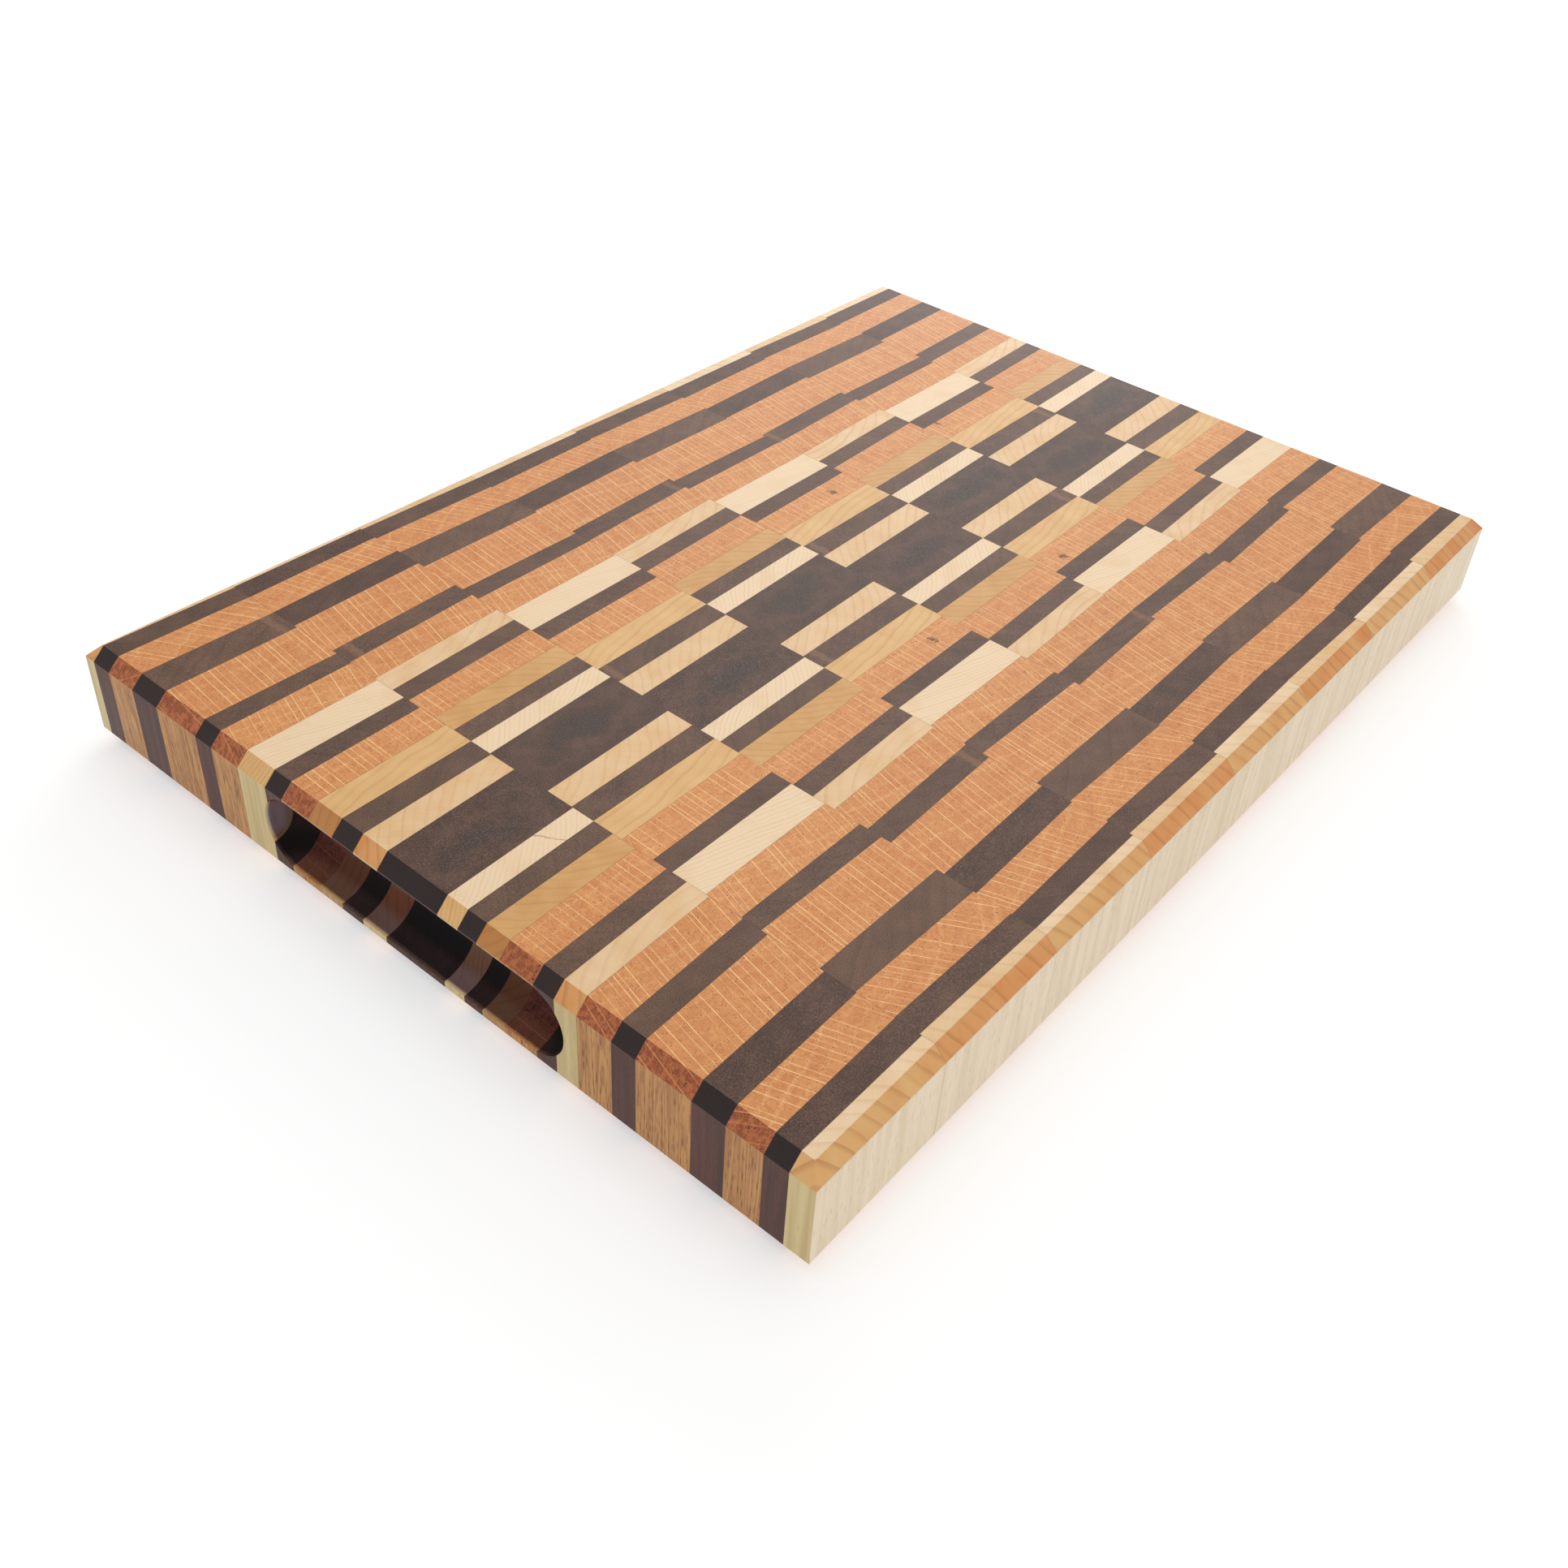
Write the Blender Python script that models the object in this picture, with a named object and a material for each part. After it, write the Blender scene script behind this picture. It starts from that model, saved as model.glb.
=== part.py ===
"""An end-grain cutting board. Strips of four woods are glued into a panel, the panel is crosscut into
slices, and every other slice is turned end for end before the slices are glued side by side. The block
is then trimmed, its edges are chamfered and a finger groove is cut in each end.

Blocks of one wood that meet across the glue lines between slices make one zigzag band. The blocks of the
checkerboard either side of the middle, and the end blocks that the grooves cut, stay separate. X runs
along the slices, Y along the board, and the underside is at Z = 0 with its middle at the origin."""

import math

import bmesh
import bpy

MM = 0.001

SLICES = 8
SLICE_WIDTH = 52.4 * MM
BOARD_WIDTH = 304.8 * MM
BOARD_THICKNESS = 37.8 * MM
CHAMFER = 4.3 * MM
GLUE_GAP = 0.3 * MM

GROOVE_LENGTH = 128 * MM
GROOVE_CUTTER_RADIUS = 13.1 * MM
GROOVE_DEPTH = 13.1 * MM
GROOVE_RAISED = 0.8 * MM  # how far its middle line is above the middle of the thickness
GROOVE_SHIFTED = 2.5 * MM  # how far its middle is to the right of the board's middle
GROOVE_END_SIDES = 16
GROOVE_NOSE_RINGS = 6

SLICES_STEP = 6.6 * MM  # how far the pattern's middle moves sideways from one slice to the next
TRIMMED_OFF_CENTRE = -1.7 * MM  # where the pattern's middle ends up once both sides are trimmed

EDGE = None  # an edge strip is ripped wide and ends at the trimmed side
STRIPS = (
    ("maple", EDGE),
    ("walnut", 8.3 * MM),
    ("oak", 12.9 * MM),
    ("walnut", 12.5 * MM),
    ("oak", 20.3 * MM),
    ("walnut", 7.6 * MM),
    ("oak", 13.1 * MM),
    ("maple", 12.9 * MM),
    ("walnut", 7.6 * MM),
    ("oak", 12.4 * MM),
    ("cherry", 11.2 * MM),
    ("walnut", 9.1 * MM),
    ("maple", 10.4 * MM),
    ("walnut", 25.1 * MM),
    ("maple", 8.3 * MM),
    ("walnut", 7.6 * MM),
    ("cherry", 9.2 * MM),
    ("oak", 12.5 * MM),
    ("walnut", 7.6 * MM),
    ("maple", 8.4 * MM),
    ("oak", 12.5 * MM),
    ("walnut", 8.7 * MM),
    ("oak", 19.5 * MM),
    ("walnut", 11.0 * MM),
    ("oak", 12.5 * MM),
    ("walnut", 8.3 * MM),
    ("maple", EDGE),
)
MIDDLE_STRIPS = (10, 18)  # the pattern's middle is halfway across these, which the slices line up by
CENTRE_COLUMN = 14
CHECKER_COLUMNS = (12, 13, 15, 16)  # their blocks don't meet the ones in the next slice
GROOVED_COLUMNS = range(10, 19)  # the grooves cut through these columns' end blocks
CENTRE_MEETING_STRIP = 12  # its blocks touch the corners of the centre ones in the next slices

OVERCUT = 5 * MM  # how far the rough pieces run past the finished surface
LENGTH = SLICES * SLICE_WIDTH

WOODS = {
    "walnut": ((0.082, 0.058, 0.047), 0.55),
    "oak": ((0.60, 0.28, 0.13), 0.60),
    "maple": ((0.80, 0.61, 0.38), 0.55),
    "cherry": ((0.62, 0.38, 0.17), 0.55),
}


def clear_scene():
    for obj in list(bpy.data.objects):
        bpy.data.objects.remove(obj)


def wood_material(name, colour, roughness):
    material = bpy.data.materials.new(name)
    material.use_nodes = True
    shader = material.node_tree.nodes["Principled BSDF"]
    shader.inputs["Base Color"].default_value = (*colour, 1.0)
    shader.inputs["Roughness"].default_value = roughness
    shader.inputs["Metallic"].default_value = 0.0
    material.diffuse_color = (*colour, 1.0)
    return material


def add_object(name, mesh_in_progress):
    bmesh.ops.recalc_face_normals(mesh_in_progress, faces=mesh_in_progress.faces)
    mesh = bpy.data.meshes.new(name)
    mesh_in_progress.to_mesh(mesh)
    mesh_in_progress.free()
    obj = bpy.data.objects.new(name, mesh)
    bpy.context.scene.collection.objects.link(obj)
    return obj


def as_cutter(obj):
    obj.hide_render = True
    obj.display_type = "WIRE"
    return obj


def add_boolean(obj, operation, other):
    modifier = obj.modifiers.new(operation.lower(), "BOOLEAN")
    modifier.operation = operation
    modifier.object = other
    modifier.solver = "EXACT"


def panel_joints():
    """Where each strip ends along a slice as first laid, from the pattern's middle, edge strips apart."""
    widths = [width for _, width in STRIPS[1:-1]]
    first, last = MIDDLE_STRIPS
    to_first = sum(widths[: first - 2])
    middle = to_first + sum(widths[first - 2 : last - 1]) / 2
    joints = [-middle]
    for width in widths:
        joints.append(joints[-1] + width)
    return joints


def slice_joints(row):
    """The strips' ends in a row's slice on the finished board. The even rows are turned end for end."""
    joints = panel_joints()
    if row % 2 == 0:
        joints = [-x for x in reversed(joints)]
    step = SLICES_STEP / 2 if row % 2 else -SLICES_STEP / 2
    trim = BOARD_WIDTH / 2 + OVERCUT
    return [-trim] + [x + step + TRIMMED_OFF_CENTRE for x in joints] + [trim]


def row_front(row):
    """Where a row starts along the board: its glue line, or clear of the end for the first row."""
    if row == 1:
        return -LENGTH / 2 - OVERCUT
    if row == SLICES + 1:
        return LENGTH / 2 + OVERCUT
    return (row - 1) * SLICE_WIDTH - LENGTH / 2


def piece_name(column, row):
    """Which piece a block belongs to."""
    wood = STRIPS[column - 1][0]
    if row in (1, SLICES) and column in GROOVED_COLUMNS:
        return f"{wood}_block_{column}_row_{row}"
    if column not in CHECKER_COLUMNS:
        return f"{wood}_band_{column}"
    strip = column if row % 2 else len(STRIPS) + 1 - column
    if strip == CENTRE_MEETING_STRIP:
        return f"{wood}_band_{CENTRE_COLUMN}"
    return f"{wood}_block_{column}_row_{row}"


def meetings(side, next_sides):
    """Where a block touches blocks of its own piece across a glue line, left to right."""
    gap = GLUE_GAP / 2
    spans = [(max(side[0], x[0]) + gap, min(side[1], x[1]) - gap) for x in next_sides]
    return sorted(span for span in spans if span[1] > span[0])


def add_rough_piece(name, blocks):
    """These blocks, each a column and a row, as one upright piece, taller than the board. Each block is
    half a glue line clear of its joints, and the glue line is bridged where two of them meet."""
    gap = GLUE_GAP / 2
    sides = {(column, row): slice_joints(row)[column - 1 : column + 1] for column, row in blocks}
    shape = bmesh.new()
    corners = {}

    def add_face(outline):
        verts = []
        for x, y in outline:
            key = (round(x, 7), round(y, 7))
            if key not in corners:
                corners[key] = shape.verts.new((x, y, -OVERCUT))
            if not verts or verts[-1] != corners[key]:
                verts.append(corners[key])
        if verts[0] == verts[-1]:
            verts.pop()
        return shape.faces.new(verts)

    base = []
    for (column, row), side in sides.items():
        front = row_front(row) + gap
        back = row_front(row + 1) - gap
        before = meetings(side, [sides[block] for block in sides if block[1] == row - 1])
        after = meetings(side, [sides[block] for block in sides if block[1] == row + 1])
        front_xs = [side[0] + gap, *(x for span in before for x in span), side[1] - gap]
        back_xs = [side[0] + gap, *(x for span in after for x in span), side[1] - gap]
        base.append(add_face([(x, front) for x in front_xs] + [(x, back) for x in back_xs[::-1]]))
        for left, right in after:
            far = back + GLUE_GAP
            base.append(add_face([(left, back), (right, back), (right, far), (left, far)]))
    top = bmesh.ops.extrude_face_region(shape, geom=base)["geom"]
    rise = (0, 0, BOARD_THICKNESS + 2 * OVERCUT)
    bmesh.ops.translate(shape, verts=[v for v in top if isinstance(v, bmesh.types.BMVert)], vec=rise)
    return add_object(name, shape)


def stadium(half_line, radius, height, y):
    """A ring of points round a straight line along X, with a half circle at each end."""
    points = []
    for end, start in ((half_line, -math.pi / 2), (-half_line, math.pi / 2)):
        for i in range(GROOVE_END_SIDES + 1):
            angle = start + math.pi * i / GROOVE_END_SIDES
            points.append((end + radius * math.cos(angle), y, height + radius * math.sin(angle)))
    return points


def add_groove_cutter():
    """What a round-nose cutter sweeps as it is fed straight in and moved along the front end."""
    radius = GROOVE_CUTTER_RADIUS
    half_line = GROOVE_LENGTH / 2 - radius
    height = BOARD_THICKNESS / 2 + GROOVE_RAISED
    nose_start = -LENGTH / 2 + GROOVE_DEPTH - radius
    rings = [(radius, min(-LENGTH / 2, nose_start) - OVERCUT)]
    for i in range(GROOVE_NOSE_RINGS):
        angle = math.pi / 2 * i / GROOVE_NOSE_RINGS
        rings.append((radius * math.cos(angle), nose_start + radius * math.sin(angle)))
    shape = bmesh.new()
    loops = []
    for ring_radius, y in rings:
        points = stadium(half_line, ring_radius, height, y)
        loops.append([shape.verts.new((x + GROOVE_SHIFTED, y, z)) for x, y, z in points])
    for outer, inner in zip(loops, loops[1:]):
        for i in range(len(outer)):
            j = (i + 1) % len(outer)
            shape.faces.new((outer[i], outer[j], inner[j], inner[i]))
    shape.faces.new(loops[0])
    tip_y = nose_start + radius
    right_tip = shape.verts.new((GROOVE_SHIFTED + half_line, tip_y, height))
    left_tip = shape.verts.new((GROOVE_SHIFTED - half_line, tip_y, height))
    last = loops[-1]
    half = GROOVE_END_SIDES + 1
    for i in range(GROOVE_END_SIDES):
        shape.faces.new((last[i], last[i + 1], right_tip))
        shape.faces.new((last[half + i], last[half + i + 1], left_tip))
    shape.faces.new((last[half - 1], last[half], left_tip, right_tip))
    shape.faces.new((last[-1], last[0], right_tip, left_tip))
    return as_cutter(add_object("groove_cutter_front", shape))


def add_finished_shape():
    """The finished board as one solid: a chamfered block with a finger groove in each end."""
    shape = bmesh.new()
    bmesh.ops.create_cube(shape, size=1.0)
    bmesh.ops.scale(shape, verts=shape.verts, vec=(BOARD_WIDTH, LENGTH, BOARD_THICKNESS))
    bmesh.ops.translate(shape, verts=shape.verts, vec=(0, 0, BOARD_THICKNESS / 2))
    upright = [e for e in shape.edges if abs(e.verts[0].co.z - e.verts[1].co.z) > CHAMFER]
    level = [e for e in shape.edges if e not in upright]
    bmesh.ops.bevel(shape, geom=level, offset=CHAMFER, segments=1, affect="EDGES")
    block = as_cutter(add_object("finished_shape", shape))
    front = add_groove_cutter()
    back = as_cutter(front.copy())
    back.name = "groove_cutter_back"
    back.rotation_euler.z = math.pi
    bpy.context.scene.collection.objects.link(back)
    add_boolean(block, "DIFFERENCE", front)
    add_boolean(block, "DIFFERENCE", back)
    return block


def build():
    clear_scene()
    materials = {name: wood_material(name, *look) for name, look in WOODS.items()}
    finished_shape = add_finished_shape()
    pieces = {}
    for column in range(1, len(STRIPS) + 1):
        for row in range(1, SLICES + 1):
            pieces.setdefault(piece_name(column, row), []).append((column, row))
    for name, blocks in pieces.items():
        piece = add_rough_piece(name, blocks)
        piece.data.materials.append(materials[name.split("_")[0]])
        add_boolean(piece, "INTERSECT", finished_shape)


build()
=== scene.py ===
"""The looks of an end-grain cutting board: every block is sawn out of the finished board where the glue lines
really run, and has its own wood, with rings round the pith of its plank, rays, pores and fibres."""

import math

import bmesh
import bpy
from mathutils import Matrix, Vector


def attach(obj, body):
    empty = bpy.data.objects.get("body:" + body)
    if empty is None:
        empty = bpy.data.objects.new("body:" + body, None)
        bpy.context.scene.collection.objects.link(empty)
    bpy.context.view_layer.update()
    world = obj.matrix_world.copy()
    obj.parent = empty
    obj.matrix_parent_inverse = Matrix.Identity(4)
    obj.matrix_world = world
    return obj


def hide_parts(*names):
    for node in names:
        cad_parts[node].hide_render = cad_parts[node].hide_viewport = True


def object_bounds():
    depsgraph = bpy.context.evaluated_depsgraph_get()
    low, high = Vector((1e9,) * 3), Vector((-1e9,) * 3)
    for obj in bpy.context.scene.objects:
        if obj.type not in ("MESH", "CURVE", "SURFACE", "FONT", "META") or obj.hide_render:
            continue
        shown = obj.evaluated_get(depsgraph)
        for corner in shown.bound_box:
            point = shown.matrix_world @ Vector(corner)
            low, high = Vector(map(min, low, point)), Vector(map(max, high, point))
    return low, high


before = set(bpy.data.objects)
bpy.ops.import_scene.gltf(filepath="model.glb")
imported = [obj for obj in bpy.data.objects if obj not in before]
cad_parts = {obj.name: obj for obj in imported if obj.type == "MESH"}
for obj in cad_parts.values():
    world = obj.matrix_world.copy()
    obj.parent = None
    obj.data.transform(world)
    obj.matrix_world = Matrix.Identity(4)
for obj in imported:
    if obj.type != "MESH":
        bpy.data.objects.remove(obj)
cad_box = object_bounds()

MM = 0.001

BOARD_LOW, BOARD_HIGH = (Vector(corner) for corner in cad_box)
BOARD_SIZE = BOARD_HIGH - BOARD_LOW
SLICES = 8
SLICE_WIDTH = BOARD_SIZE.y / SLICES
CHAMFER = 4.3 * MM
ARRIS = 0.3 * MM  # the sharp edges are taken off with fine paper
ARRIS_STEPS = 2
ARRIS_ANGLE = math.radians(35)  # the least angle that counts as a sharp edge

GROOVE_LENGTH = 128 * MM
GROOVE_RADIUS = 13.1 * MM
GROOVE_RAISED = 0.8 * MM  # how far its middle line is above the middle of the thickness
GROOVE_SHIFTED = 2.5 * MM  # how far its middle is to the right of the board's middle
GROOVE_HEIGHT = (BOARD_LOW.z + BOARD_HIGH.z) / 2 + GROOVE_RAISED
GROOVE_SIDES = 72
GROOVE_NOSE_RINGS = 36

GROOVE_PAINTED_SHADE = (0.23, 0.185, 0.29, 1.0)  # painted shade: the colours are multiplied by this in the grooves, for the shade in their hollows

# Where the grooves' painted shade fades in and out: inwards from the ends of the board, up or down from a
# groove's middle line, and sideways from the board's middle.
SHADE_START = (0.3 * MM, 1.5 * MM)
SHADE_END = (14 * MM, 15 * MM)
SHADE_HEIGHT = (13.0 * MM, 13.4 * MM)
SHADE_WIDTH = (68 * MM, 70 * MM)

SLICE_OFFSET = 41.0  # mm of plank used by one slice and its saw cut
SMOOTH_ANGLE = math.radians(30)

# One row for each strip of the panel, left to right as the first slice lies, in mm: the wood, where its left
# joint is from the board's middle, how much further left that joint is at the back than at the front, and
# where the pith of its plank was from the strip's middle, to the right and to the back. Then the width of a
# year's ring, and how light (1) or dark (0) the strip is for its wood.
STRIPS = (
    ("maple", None, 0, (90, -150), 4.5, 0.50),
    ("walnut", -146.5, -1.2, (-90, 60), 3.8, 0.40),
    ("oak", -138.3, -1.1, (53, 30), 4.1, 0.50),
    ("walnut", -125.4, -1.2, (120, 80), 4.5, 0.75),
    ("oak", -112.9, -0.5, (180, -20), 5.0, 0.45),
    ("walnut", -92.6, -1.0, (90, -70), 4.0, 0.60),
    ("oak", -85.0, -0.2, (330, -105), 4.3, 0.60),
    ("maple", -71.9, 0.0, (300, -90), 1.5, 1.00),
    ("walnut", -58.9, 0.3, (60, -90), 3.5, 0.50),
    ("oak", -51.3, 0.7, (160, -7), 4.6, 0.60),
    ("cherry", -39.0, 0.8, (200, 35), 3.4, 0.80),
    ("walnut", -27.8, 0.2, (80, 60), 3.4, 0.55),
    ("maple", -18.6, 0.6, (70, 62), 3.2, 0.45),
    ("walnut", -8.3, 1.0, (-25, -45), 4.8, 0.05),
    ("maple", 16.8, 1.3, (-90, -75), 1.5, 1.00),
    ("walnut", 25.2, 1.0, (70, 80), 3.2, 0.60),
    ("cherry", 32.8, 0.7, (-60, 50), 3.0, 0.30),
    ("oak", 41.9, 0.9, (190, -6), 4.4, 0.50),
    ("walnut", 54.4, 1.6, (-60, 80), 3.8, 0.65),
    ("maple", 62.1, 1.7, (55, 20), 4.2, 0.50),
    ("oak", 70.5, 1.6, (-500, 130), 4.2, 0.45),
    ("walnut", 83.0, 1.7, (-90, 30), 4.0, 0.55),
    ("oak", 91.7, 1.4, (-430, 90), 4.8, 0.45),
    ("walnut", 111.2, 0.8, (-120, -40), 4.2, 0.15),
    ("oak", 122.3, 1.1, (-155, -50), 4.6, 0.45),
    ("walnut", 134.8, 0.6, (80, -80), 4.0, 0.20),
    ("maple", 143.1, -0.1, (90, -110), 4.5, 0.85),
)
TURNED_SHIFT = -3.5  # mm between a turned slice and the mirror image of an unturned one
SLICE_SLIPS = (0.2, 0.4, 1.3, 1.5, 1.0, 1.9, 1.4, 1.0)  # mm each slice slid sideways in the clamps
SLICE_SPREADS = (1.005, 1.004, 1.002, 0.998, 0.996, 0.994, 0.994, 0.993)  # the strips taper a little
CENTRE_COLUMN = 14
FAR = 100.0  # mm to a glue line or blemish, where there is none
STRIP_SEED = 3.7  # how far apart two strips' noise is, so that no two look alike
ROW_SEED = 0.013  # the same for the blocks of one strip, which differ only a little

# Where a block's blemish is, in mm to the right and to the back of its middle, by column and row: a
# cluster of pin knots in oak and a hairline crack in maple.
BLEMISHES = {
    (10, 5): (0.3, 11.8),
    (18, 4): (-1, 12.2),
    (18, 6): (2.4, -15),
    (10, 7): (-5, -18.6),
    (15, 1): (0, 12.8),
}
HEART = (2.0, 0.0)  # where the centre strip's dark heart is from its middle, in mm

# How far to the back of its middle a walnut block has a paler band, in mm, by column and row.
PALE_BANDS = {
    (4, 1): 22,
    (6, 2): -21,
    (12, 3): -24,
    (22, 3): 21,
    (6, 4): 23,
    (16, 4): -22,
    (12, 5): -23,
    (22, 5): 24,
    (6, 6): -24,
    (16, 6): 21,
    (12, 7): 22,
}


# Board and blocks


def select_only(obj):
    bpy.ops.object.select_all(action="DESELECT")
    obj.select_set(True)
    bpy.context.view_layer.objects.active = obj


def select_in_mesh(obj, kind, test):
    """Selects the verts or edges of the mesh in edit mode that pass the test, and nothing else."""
    bpy.ops.mesh.select_all(action="DESELECT")
    mesh = bmesh.from_edit_mesh(obj.data)
    for element in getattr(mesh, kind):
        if test(element):
            element.select_set(True)
    mesh.select_flush_mode()
    bmesh.update_edit_mesh(obj.data)


def apply_place(obj):
    select_only(obj)
    bpy.ops.object.transform_apply(location=True, rotation=True, scale=True)


def add_chamfered_block():
    """The glued-up block after trimming, with its top and bottom edges chamfered."""
    bpy.ops.object.select_all(action="DESELECT")
    middle = (BOARD_LOW + BOARD_HIGH) / 2
    bpy.ops.mesh.primitive_cube_add(size=1, location=middle, scale=BOARD_SIZE)
    block = bpy.context.active_object
    apply_place(block)
    bpy.ops.object.mode_set(mode="EDIT")
    bpy.ops.mesh.select_mode(type="EDGE")
    select_in_mesh(block, "edges", lambda e: abs(e.verts[0].co.z - e.verts[1].co.z) < CHAMFER)
    bpy.ops.mesh.bevel(offset=CHAMFER, segments=1)
    bpy.ops.object.mode_set(mode="OBJECT")
    return block


def add_groove_cutter(turn):
    """What a round-nose cutter sweeps along the end of the board: a ball drawn out into a capsule."""
    bpy.ops.object.select_all(action="DESELECT")
    bpy.ops.mesh.primitive_uv_sphere_add(
        segments=GROOVE_SIDES,
        ring_count=GROOVE_NOSE_RINGS,
        radius=GROOVE_RADIUS,
        rotation=(0, math.pi / 2, 0),
    )
    cutter = bpy.context.active_object
    apply_place(cutter)
    half_line = GROOVE_LENGTH / 2 - GROOVE_RADIUS
    nose_step = GROOVE_RADIUS / GROOVE_NOSE_RINGS
    bpy.ops.object.mode_set(mode="EDIT")
    bpy.ops.mesh.select_mode(type="VERT")
    for side in (-1, 1):
        select_in_mesh(cutter, "verts", lambda v: v.co.x * side > nose_step)
        bpy.ops.transform.translate(value=(side * half_line, 0, 0))
    bpy.ops.object.mode_set(mode="OBJECT")
    cutter.location = (GROOVE_SHIFTED, BOARD_LOW.y, GROOVE_HEIGHT)
    apply_place(cutter)
    cutter.rotation_euler.z = turn
    apply_place(cutter)
    return cutter


def apply_modifier(obj, kind, **settings):
    select_only(obj)
    modifier = obj.modifiers.new(kind.lower(), kind)
    for name, value in settings.items():
        setattr(modifier, name, value)
    bpy.ops.object.modifier_apply(modifier=modifier.name)


def add_finished_board():
    board = add_chamfered_block()
    for turn in (0, math.pi):
        cutter = add_groove_cutter(turn)
        apply_modifier(board, "BOOLEAN", operation="DIFFERENCE", solver="EXACT", object=cutter)
        bpy.data.objects.remove(cutter)
    apply_modifier(
        board, "BEVEL", width=ARRIS, segments=ARRIS_STEPS, limit_method="ANGLE", angle_limit=ARRIS_ANGLE
    )
    return board


def copy_of(obj):
    copy = obj.copy()
    copy.data = obj.data.copy()
    bpy.context.scene.collection.objects.link(copy)
    return copy


def saw(obj, point, normal, keep_ahead):
    """Saws the piece at a plane and keeps what is ahead of it, or else what is behind it."""
    select_only(obj)
    bpy.ops.object.mode_set(mode="EDIT")
    bpy.ops.mesh.select_all(action="SELECT")
    bpy.ops.mesh.bisect(
        plane_co=point, plane_no=normal, use_fill=True, clear_inner=keep_ahead, clear_outer=not keep_ahead
    )
    bpy.ops.object.mode_set(mode="OBJECT")


def strip_number(column, row):
    """Which strip of the panel a column is in this row. The even rows are turned end for end."""
    return column if row % 2 else len(STRIPS) + 1 - column


def joint(column, row):
    """Where the left joint of a column crosses the middle of a row, and how much it leans along the row."""
    _, place, lean, *_ = STRIPS[column - 1 if row % 2 else len(STRIPS) + 1 - column]
    if row % 2 == 0:
        place = TURNED_SHIFT - place
    return (place * SLICE_SPREADS[row - 1] + SLICE_SLIPS[row - 1]) * MM, lean * MM


def row_middle(row):
    return BOARD_LOW.y + (row - 0.5) * SLICE_WIDTH


def saw_row(board, row):
    """The blocks of one row, left to right."""
    rest = copy_of(board)
    if row > 1:
        saw(rest, (0, row_middle(row) - SLICE_WIDTH / 2, 0), (0, 1, 0), keep_ahead=True)
    if row < SLICES:
        saw(rest, (0, row_middle(row) + SLICE_WIDTH / 2, 0), (0, 1, 0), keep_ahead=False)
    blocks = []
    for column in range(2, len(STRIPS) + 1):
        place, lean = joint(column, row)
        point = (place, row_middle(row), 0)
        across = Vector((1, lean / SLICE_WIDTH, 0)).normalized()
        block = copy_of(rest)
        saw(block, point, across, keep_ahead=False)
        saw(rest, point, across, keep_ahead=True)
        blocks.append(block)
    return blocks + [rest]


def joint_distance(column, row, point):
    """How far a point is to the right of a column's left joint, in mm. The board's sides have no glue."""
    if column == 1:
        return FAR
    place, lean = joint(column, row)
    return (point.x - place + (point.y - row_middle(row)) * lean / SLICE_WIDTH) / MM


def block_middle(column, row):
    """The middle of a block, on the underside's plane."""
    left = joint(column, row)[0] if column > 1 else BOARD_LOW.x
    right = joint(column + 1, row)[0] if column < len(STRIPS) else BOARD_HIGH.x
    return Vector(((left + right) / 2, row_middle(row), 0))


def mark_block(block, column, row):
    """Notes on each point of a block's mesh where it was in its plank and how far the glue lines are."""
    strip = strip_number(column, row)
    _, _, _, pith, ring_width, tone = STRIPS[strip - 1]
    middle = block_middle(column, row)
    turn = 1 if row % 2 else -1
    outwards = -Vector(pith).normalized()
    blemish = Vector(BLEMISHES.get((column, row), (FAR, FAR)))
    if column == CENTRE_COLUMN:
        blemish = Vector(HEART) * turn
    pale = PALE_BANDS.get((column, row), FAR)
    last = column == len(STRIPS)
    notes = []
    for vertex in block.data.vertices:
        place = (vertex.co - middle) / MM
        from_pith = place.xy * turn - Vector(pith)
        from_front = (vertex.co.y - row_middle(row) + SLICE_WIDTH / 2) / MM
        notes.append({
            "forward": from_pith.dot(outwards),
            "sideways": outwards.cross(from_pith),
            "up": (vertex.co.z - BOARD_LOW.z) / MM + SLICE_OFFSET * row,
            "ring_width": ring_width,
            "tone": tone,
            "seed": strip * STRIP_SEED + row * ROW_SEED,
            "left_glue": joint_distance(column, row, vertex.co),
            "right_glue": FAR if last else -joint_distance(column + 1, row, vertex.co),
            "front_glue": from_front if row > 1 else FAR,
            "back_glue": SLICE_WIDTH / MM - from_front if row < SLICES else FAR,
            "beside": place.x - blemish.x,
            "behind": place.y - blemish.y,
            "past_pale": place.y - pale,
        })
    for name in notes[0]:
        attribute = block.data.attributes.new(name, "FLOAT", "POINT")
        attribute.data.foreach_set("value", [note[name] for note in notes])


def node_of(column, row):
    """The CAD node that a block is part of."""
    wood = STRIPS[column - 1][0]
    for name in (f"{wood}_block_{column}_row_{row}", f"{wood}_band_{column}"):
        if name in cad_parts:
            return name
    return f"{wood}_band_{CENTRE_COLUMN}"


# Wood


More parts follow.
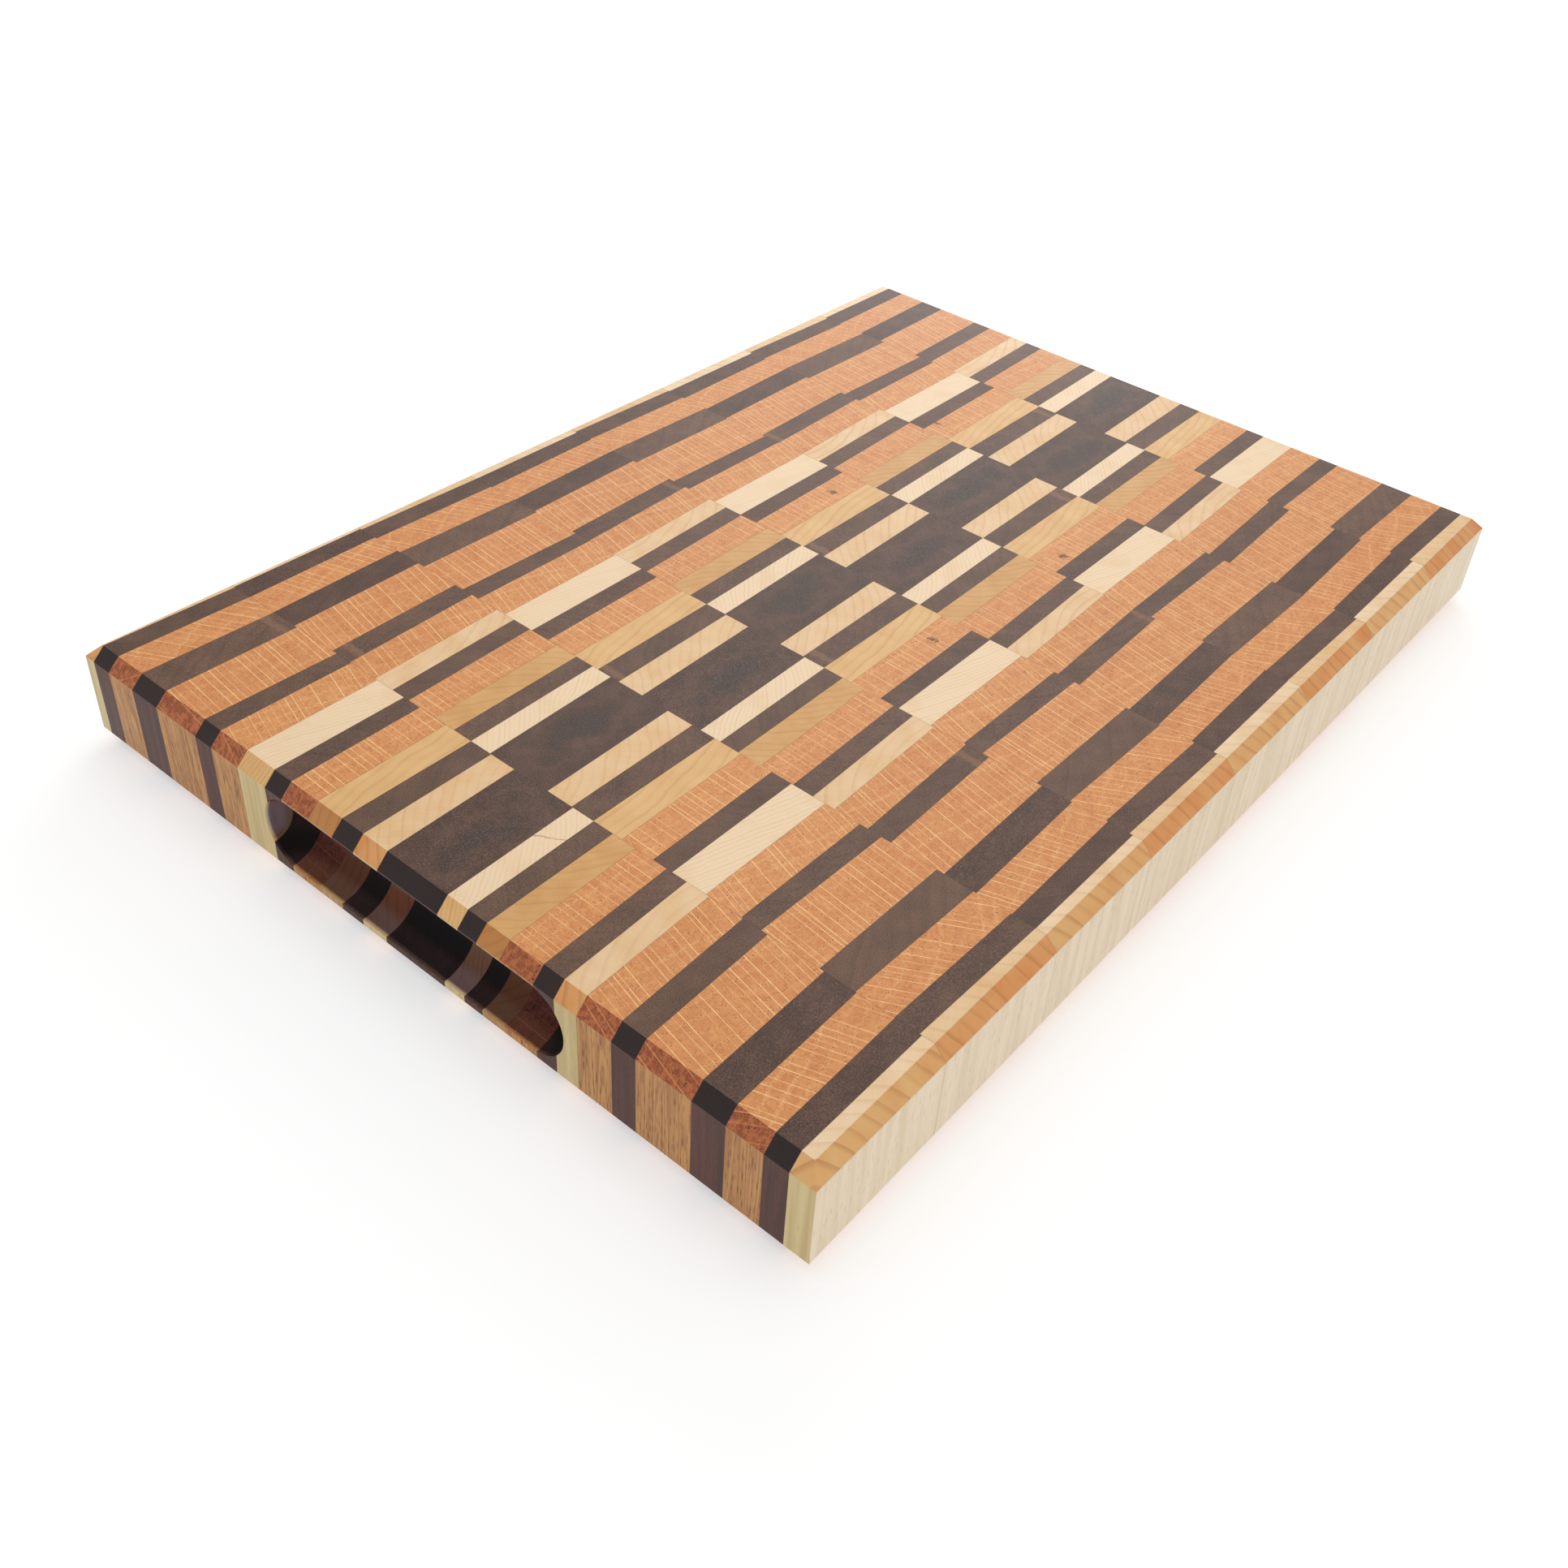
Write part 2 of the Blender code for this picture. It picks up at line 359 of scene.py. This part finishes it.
class Value:
    """A number or vector that varies over the surface. Sums on it add the nodes that work them out."""

    def __init__(self, recipe, socket):
        self.recipe = recipe
        self.socket = socket

    def maths(self, operation, *values):
        inputs = dict(enumerate(values))
        return self.recipe.node("ShaderNodeMath", {"operation": operation}, inputs)

    def __add__(self, other):
        return self.maths("ADD", self, other)

    def __radd__(self, other):
        return self.maths("ADD", other, self)

    def __sub__(self, other):
        return self.maths("SUBTRACT", self, other)

    def __rsub__(self, other):
        return self.maths("SUBTRACT", other, self)

    def __mul__(self, other):
        return self.maths("MULTIPLY", self, other)

    def __rmul__(self, other):
        return self.maths("MULTIPLY", other, self)

    def __truediv__(self, other):
        return self.maths("DIVIDE", self, other)

    def __rtruediv__(self, other):
        return self.maths("DIVIDE", other, self)

    def __pow__(self, other):
        return self.maths("POWER", self, other)

    def least(self, other):
        return self.maths("MINIMUM", self, other)

    def fraction(self):
        return self.maths("FRACT", self)

    def size(self):
        return self.maths("ABSOLUTE", self)

    def rise(self, start, end):
        """0 up to start, 1 from end on, and smooth between."""
        settings = {"interpolation_type": "SMOOTHSTEP"}
        values = {"Value": self, "From Min": start, "From Max": end, "To Min": 0.0, "To Max": 1.0}
        return self.recipe.node("ShaderNodeMapRange", settings, values)

    def fall(self, start, end):
        """1 up to start, 0 from end on, and smooth between."""
        return 1 - self.rise(start, end)


class Recipe:
    """A material in the making."""

    def __init__(self, name):
        self.material = bpy.data.materials.new(name)
        self.material.use_nodes = True
        self.tree = self.material.node_tree
        self.shader = self.tree.nodes["Principled BSDF"]

    def put(self, socket, value):
        if isinstance(value, Value):
            self.tree.links.new(value.socket, socket)
        else:
            socket.default_value = value

    def node(self, kind, settings, values, output=0):
        node = self.tree.nodes.new(kind)
        for name, setting in settings.items():
            setattr(node, name, setting)
        for name, value in values.items():
            self.put(node.inputs[name], value)
        return Value(self, node.outputs[output])

    def note(self, name):
        """A number noted on the mesh."""
        return self.node("ShaderNodeAttribute", {"attribute_name": name}, {}, "Fac")

    def split(self, vector):
        return [self.node("ShaderNodeSeparateXYZ", {}, {"Vector": vector}, axis) for axis in "XYZ"]

    def vector(self, x, y, z):
        return self.node("ShaderNodeCombineXYZ", {}, {"X": x, "Y": y, "Z": z})

    def noise(self, vector, scale, detail=2.0):
        values = {"Vector": vector, "Scale": scale, "Detail": detail}
        return self.node("ShaderNodeTexNoise", {}, values)

    def line_noise(self, place, scale, detail=2.0):
        values = {"W": place, "Scale": scale, "Detail": detail}
        return self.node("ShaderNodeTexNoise", {"noise_dimensions": "1D"}, values)

    def cracks(self, place, scale):
        """How far it is to the nearest of many uneven lines, in parts of their spacing."""
        settings = {"voronoi_dimensions": "1D", "feature": "DISTANCE_TO_EDGE"}
        return self.node("ShaderNodeTexVoronoi", settings, {"W": place, "Scale": scale}, "Distance")

    def spots(self, vector, scale):
        """How far it is to the nearest of many scattered points, in parts of their spacing."""
        settings = {"voronoi_dimensions": "3D", "feature": "F1"}
        return self.node("ShaderNodeTexVoronoi", settings, {"Vector": vector, "Scale": scale}, "Distance")

    def mix(self, amount, first, second):
        """A colour from first, at amount 0, to second, at amount 1."""
        settings = {"data_type": "RGBA", "clamp_factor": True}
        return self.node("ShaderNodeMix", settings, {0: amount, 6: first, 7: second}, 2)

    def darken(self, amount, colour, by):
        """A colour multiplied by another, as far as the amount says."""
        settings = {"data_type": "RGBA", "blend_type": "MULTIPLY", "clamp_factor": True}
        return self.node("ShaderNodeMix", settings, {0: amount, 6: colour, 7: by}, 2)

    def set(self, name, value):
        self.put(self.shader.inputs[name], value)


def paint(red, green, blue):
    """A colour from its values on a 0 to 255 scale."""
    channels = []
    for value in (red, green, blue):
        part = value / 255
        channels.append(part / 12.92 if part <= 0.04045 else ((part + 0.055) / 1.055) ** 2.4)
    return (*channels, 1.0)


class Plank:
    """What every wood's recipe starts from: the place in the plank, the direction of the cut and the glue."""

    def __init__(self, recipe):
        forward = recipe.note("forward")
        sideways = recipe.note("sideways")
        up = recipe.note("up")
        self.tone = recipe.note("tone")
        self.seed = recipe.note("seed")
        self.beside = recipe.note("beside")
        self.behind = recipe.note("behind")
        self.past_pale = recipe.note("past_pale")
        to_side = recipe.note("left_glue").least(recipe.note("right_glue"))
        self.to_glue = to_side.least(recipe.note("front_glue").least(recipe.note("back_glue")))
        self.fibres = recipe.vector(forward, sideways, up * 0.04 + self.seed * 10)
        self.dashes = recipe.vector(forward, sideways, up * 0.15 + self.seed * 10)
        self.drift = recipe.vector(forward, sideways, up * 0.25 + self.seed * 10)
        from_pith = (forward * forward + sideways * sideways) ** 0.5
        wander = recipe.noise(self.drift, 0.06) - 0.5
        years = (from_pith + wander * 4.0) / recipe.note("ring_width")
        self.rings = years.fraction()
        self.year = recipe.line_noise(years + self.seed * 10, 0.9, 1.0).rise(0.3, 0.7)
        self.arc = sideways.maths("ARCTAN2", sideways, forward) * from_pith
        normal = recipe.node("ShaderNodeNewGeometry", {}, {}, "Normal")
        facing_side, _, upright = (part.size() for part in recipe.split(normal))
        self.facing_side = facing_side.rise(0.8, 0.95)
        self.end_grain = upright.rise(0.25, 0.6)
        # Chamfers get a darker, richer colour: partly oil soaked into slanted end grain, partly painted
        # shade.
        self.chamfer_oil_and_shade = self.end_grain * upright.fall(0.8, 0.95)
        # Painted shade: a mask over the grooves' hollows, where the colour is darkened for the shade that
        # falls there.
        place = recipe.node("ShaderNodeTexCoord", {}, {}, "Object")
        x, y, z = recipe.split(place)
        depth = BOARD_HIGH.y - y.size()
        sunk = depth.rise(*SHADE_START) * depth.fall(*SHADE_END)
        level = (z - GROOVE_HEIGHT).size().fall(*SHADE_HEIGHT)
        self.painted_groove_shade = sunk * level * x.size().fall(*SHADE_WIDTH)


def finish_wood(recipe, plank, colour, glue_colour, roughness, bump):
    """Adds the glue lines, paints shade into the grooves, and sets what all the woods have alike."""
    glued = plank.to_glue.fall(0.05, 0.22) * 0.4
    colour = recipe.mix(glued, colour, glue_colour)
    # Painted shade: the colour is darkened in the grooves' hollows.
    colour = recipe.darken(plank.painted_groove_shade, colour, GROOVE_PAINTED_SHADE)
    recipe.set("Base Color", colour)
    recipe.set("Roughness", roughness + plank.painted_groove_shade * 0.4)
    recipe.set("Specular IOR Level", 0.36)
    height = {"Strength": 0.25, "Distance": 0.0001, "Height": bump}
    recipe.set("Normal", recipe.node("ShaderNodeBump", {}, height))
    return recipe.material


def make_oak():
    recipe = Recipe("oak")
    plank = Plank(recipe)
    cloudy = recipe.noise(plank.fibres, 0.16, 3.0)
    colour = recipe.mix(plank.tone + cloudy - 0.5, paint(206, 126, 70), paint(232, 164, 100))
    mottled = recipe.noise(plank.fibres, 0.8, 5.0).rise(0.4, 0.62)
    colour = recipe.mix(mottled * 0.3, colour, paint(184, 104, 52))
    early = plank.rings.fall(0.05, 0.35) + plank.rings.rise(0.88, 1.0)
    colour = recipe.mix(early * plank.year * 0.38, colour, paint(246, 188, 124))
    pores = recipe.spots(plank.fibres, 1.7).fall(0.25, 0.45)
    porous = recipe.noise(plank.fibres, 0.6, 3.0).rise(0.42, 0.6)
    flecks = pores * (porous * 0.55 + early * 0.45)
    colour = recipe.mix(flecks * 0.8, colour, paint(140, 70, 36))
    ray_place = plank.arc + plank.seed * 100
    strength = recipe.line_noise(ray_place, 0.35, 3.0).rise(0.38, 0.6)
    broken = recipe.noise(plank.fibres, 0.3, 3.0).rise(0.38, 0.56)
    bold = recipe.cracks(ray_place, 0.42).fall(0.025, 0.08) * strength * (0.6 + broken * 0.4)
    fine = recipe.cracks(ray_place + 50.0, 1.5).fall(0.05, 0.2) * broken * 0.18
    rays = (bold + fine) * plank.end_grain
    colour = recipe.mix(rays, colour, paint(255, 212, 146))
    knots = (plank.beside**2 + plank.behind**2) ** 0.5 + recipe.noise(plank.fibres, 0.9, 3.0) * 6.0 - 3.0
    colour = recipe.mix(knots.fall(0.6, 2.2) * 0.85, colour, paint(92, 42, 28))
    # The chamfer's colour: darker partly from oil, partly painted shade.
    oiled_and_shaded = recipe.mix(mottled, paint(178, 98, 58), paint(138, 66, 38))
    oiled_and_shaded = recipe.mix(flecks, oiled_and_shaded, paint(88, 38, 24))
    oiled_and_shaded = recipe.mix(rays * 0.55, oiled_and_shaded, paint(232, 152, 92))
    colour = recipe.mix(plank.chamfer_oil_and_shade * 0.9, colour, oiled_and_shaded)
    arches = recipe.noise(plank.fibres, 0.22, 2.0) * 9.0
    bands = arches.fraction().rise(0.0, 0.85) * arches.fraction().fall(0.85, 1.0)
    side = recipe.mix(bands * 0.8, paint(196, 142, 82), paint(160, 106, 56))
    dashes = recipe.spots(plank.dashes, 1.3).fall(0.22, 0.42) * (0.35 + bands * 0.65)
    side = recipe.mix(dashes * 0.7, side, paint(112, 66, 38))
    colour = recipe.mix(1 - plank.end_grain, colour, side)
    return finish_wood(recipe, plank, colour, paint(132, 80, 48), 0.5 + flecks * 0.2, 1 - flecks)


def make_maple():
    recipe = Recipe("maple")
    plank = Plank(recipe)
    cloudy = recipe.noise(plank.fibres, 0.09, 3.0)
    colour = recipe.mix(plank.tone + cloudy - 0.5, paint(220, 168, 100), paint(242, 213, 174))
    line = plank.rings.rise(0.55, 0.95) * plank.rings.fall(0.95, 1.0) * (0.35 + plank.year * 0.65)
    colour = recipe.mix(line * 0.24, colour, paint(188, 134, 80))
    ray_place = plank.arc + plank.seed * 100
    fine = recipe.cracks(ray_place, 1.6).fall(0.05, 0.25) * 0.14 * plank.end_grain
    colour = recipe.mix(fine, colour, paint(255, 236, 208))
    ragged = recipe.noise(plank.fibres, 0.5, 3.0) * 1.6 - 0.8
    off_crack = (plank.behind - plank.beside * 0.56 + ragged).size()
    cracked = off_crack.fall(0.1, 0.4) * plank.behind.size().fall(3.0, 5.0)
    colour = recipe.mix(cracked * 0.55, colour, paint(172, 86, 52))
    # The chamfer's colour: darker partly from oil, partly painted shade.
    oiled_and_shaded = recipe.mix(plank.tone + cloudy - 0.5, paint(214, 114, 40), paint(226, 178, 114))
    oiled_and_shaded = recipe.mix(line * 0.45, oiled_and_shaded, paint(172, 104, 54))
    colour = recipe.mix(plank.chamfer_oil_and_shade * 0.95, colour, oiled_and_shaded)
    bands = recipe.noise(plank.fibres, 0.35, 2.0).rise(0.3, 0.7)
    end = recipe.mix(bands, paint(212, 192, 140), paint(194, 170, 116))
    # The sides facing left and right are paler and pinker: partly their grain, partly painted light from the
    # side.
    flank_grain_and_light = recipe.mix(bands, paint(236, 218, 190), paint(224, 204, 171))
    side = recipe.mix(plank.facing_side, end, flank_grain_and_light)
    dashes = recipe.spots(plank.dashes, 0.9).fall(0.08, 0.3)
    side = recipe.mix(dashes * 0.3, side, paint(178, 140, 102))
    colour = recipe.mix(1 - plank.end_grain, colour, side)
    return finish_wood(recipe, plank, colour, paint(150, 104, 62), 0.48 + line * 0.08, 1 - line)


def make_cherry():
    recipe = Recipe("cherry")
    plank = Plank(recipe)
    cloudy = recipe.noise(plank.fibres, 0.11, 3.0)
    colour = recipe.mix(plank.tone + cloudy - 0.5, paint(206, 150, 84), paint(230, 186, 126))
    line = plank.rings.rise(0.5, 0.95) * plank.rings.fall(0.95, 1.0) * (0.4 + plank.year * 0.6)
    colour = recipe.mix(line * 0.22, colour, paint(172, 114, 56))
    # The chamfer's colour: darker partly from oil, partly painted shade.
    oiled_and_shaded = recipe.mix(line * 0.4, paint(186, 122, 62), paint(146, 88, 40))
    colour = recipe.mix(plank.chamfer_oil_and_shade * 0.9, colour, oiled_and_shaded)
    bands = recipe.noise(plank.fibres, 0.5, 2.0).rise(0.3, 0.7)
    side = recipe.mix(bands, paint(196, 156, 106), paint(170, 126, 80))
    colour = recipe.mix(1 - plank.end_grain, colour, side)
    return finish_wood(recipe, plank, colour, paint(130, 84, 46), 0.48 + line * 0.08, 1 - line)


def make_walnut():
    recipe = Recipe("walnut")
    plank = Plank(recipe)
    cloudy = recipe.noise(plank.drift, 0.1, 4.0)
    colour = recipe.mix(plank.tone + (cloudy - 0.5) * 1.6, paint(82, 58, 46), paint(116, 85, 66))
    band = plank.rings.rise(0.2, 1.0) * plank.year
    colour = recipe.mix(band * 0.25, colour, paint(54, 40, 34))
    out = ((plank.beside / 6.5) ** 2 + (plank.behind / 19.0) ** 2) ** 0.5
    heart = out + recipe.noise(plank.drift, 0.12, 3.0) * 2.4 - 1.2
    colour = recipe.mix(heart.rise(0.9, 1.2) * heart.fall(1.3, 1.8) * 0.2, colour, paint(122, 90, 76))
    colour = recipe.mix(heart.fall(0.3, 1.0) * 0.6, colour, paint(58, 51, 49))
    pale = (plank.past_pale + recipe.noise(plank.fibres, 0.4, 2.0) * 3.0 - 1.5).size().fall(0.5, 2.2)
    colour = recipe.mix(pale * 0.55, colour, paint(150, 108, 82))
    speckled = recipe.noise(plank.fibres, 2.6, 2.0)
    colour = recipe.mix(speckled.fall(0.3, 0.48) * 0.55, colour, paint(44, 32, 28))
    colour = recipe.mix(speckled.rise(0.53, 0.68) * 0.5, colour, paint(136, 106, 88))
    # The chamfer's colour: darker partly from oil, partly painted shade.
    colour = recipe.mix(plank.chamfer_oil_and_shade * 0.92, colour, paint(30, 18, 19))
    dashes = recipe.spots(plank.dashes, 1.7).fall(0.15, 0.4)
    bands = recipe.noise(plank.fibres, 0.5, 2.0).rise(0.3, 0.7)
    side = recipe.mix(bands, paint(90, 50, 38), paint(66, 36, 28))
    side = recipe.mix(dashes * 0.5, side, paint(44, 32, 30))
    colour = recipe.mix(1 - plank.end_grain, colour, side)
    return finish_wood(recipe, plank, colour, paint(72, 54, 44), 0.55, speckled)


def finish_piece(node, blocks, woods):
    """Joins the blocks that stand for a CAD node, each still a closed block, into one finished piece."""
    bpy.ops.object.select_all(action="DESELECT")
    for block in blocks:
        block.select_set(True)
    piece = blocks[0]
    bpy.context.view_layer.objects.active = piece
    if len(blocks) > 1:
        bpy.ops.object.join()
    bpy.ops.object.shade_smooth_by_angle(angle=SMOOTH_ANGLE)
    piece.name = f"{node}_wood"
    piece.data.name = piece.name
    wood = node.split("_")[0]
    piece.data.materials.clear()
    piece.data.materials.append(woods[wood])
    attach(piece, "root")
    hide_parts(node)


def build_board():
    woods = {
        "oak": make_oak(),
        "maple": make_maple(),
        "cherry": make_cherry(),
        "walnut": make_walnut(),
    }
    board = add_finished_board()
    pieces = {}
    for row in range(1, SLICES + 1):
        for column, block in enumerate(saw_row(board, row), start=1):
            mark_block(block, column, row)
            pieces.setdefault(node_of(column, row), []).append(block)
    bpy.data.objects.remove(board)
    for node, blocks in pieces.items():
        finish_piece(node, blocks, woods)


# Studio

FLOOR_SIZE = 6
FLOOR_GAP = 0.2 * MM  # keeps the underside clear of the floor


def add_floor():
    bpy.ops.object.select_all(action="DESELECT")
    bpy.ops.mesh.primitive_plane_add(size=FLOOR_SIZE, location=(0, 0, BOARD_LOW.z - FLOOR_GAP))
    floor = bpy.context.active_object
    floor.name = "floor"
    recipe = Recipe("floor")
    recipe.set("Base Color", (0.6, 0.6, 0.6, 1.0))
    recipe.set("Roughness", 0.9)
    recipe.set("Specular IOR Level", 0.1)
    recipe.set("Emission Color", (1.0, 1.0, 1.0, 1.0))
    recipe.set("Emission Strength", 0.49)
    seen_from_below = recipe.node("ShaderNodeNewGeometry", {}, {}, "Backfacing")
    recipe.set("Alpha", 1 - seen_from_below)
    floor.data.materials.append(recipe.material)


def add_soft_light(name, place, target, size, power):
    light = bpy.data.lights.new(name, "AREA")
    light.shape = "SQUARE"
    light.size = size
    light.energy = power
    lamp = bpy.data.objects.new(name, light)
    bpy.context.scene.collection.objects.link(lamp)
    lamp.location = place
    lamp.rotation_euler = (Vector(target) - Vector(place)).to_track_quat("-Z", "Y").to_euler()


def add_studio():
    add_floor()
    world = bpy.data.worlds.new("studio")
    world.use_nodes = True
    background = world.node_tree.nodes["Background"]
    background.inputs["Color"].default_value = (1.0, 1.0, 1.0, 1.0)
    background.inputs["Strength"].default_value = 0.68
    bpy.context.scene.world = world
    add_soft_light("overhead", (-0.2, 0.2, 1.8), (0, 0, 0), 1.4, 6)
    add_soft_light("behind", (-0.75, 1.15, 0.62), (0, 0.1, 0), 0.9, 6.2)
    add_soft_light("right", (1.3, -0.2, 0.7), (0.1, 0, 0), 0.8, 1)
    bpy.context.scene.view_settings.view_transform = "Standard"


def add_camera():
    camera = bpy.data.cameras.new("camera")
    camera.sensor_fit = "HORIZONTAL"
    camera.sensor_width = 36
    camera.lens = 37.7
    camera.shift_x = -0.0336
    camera.shift_y = -0.0486
    holder = bpy.data.objects.new("camera", camera)
    bpy.context.scene.collection.objects.link(holder)
    holder.location = (0.2854, -0.4037, 0.3612)
    holder.rotation_euler = (math.radians(52.016), math.radians(-4.052), math.radians(38.913))
    bpy.context.scene.camera = holder


add_camera()
build_board()
add_studio()
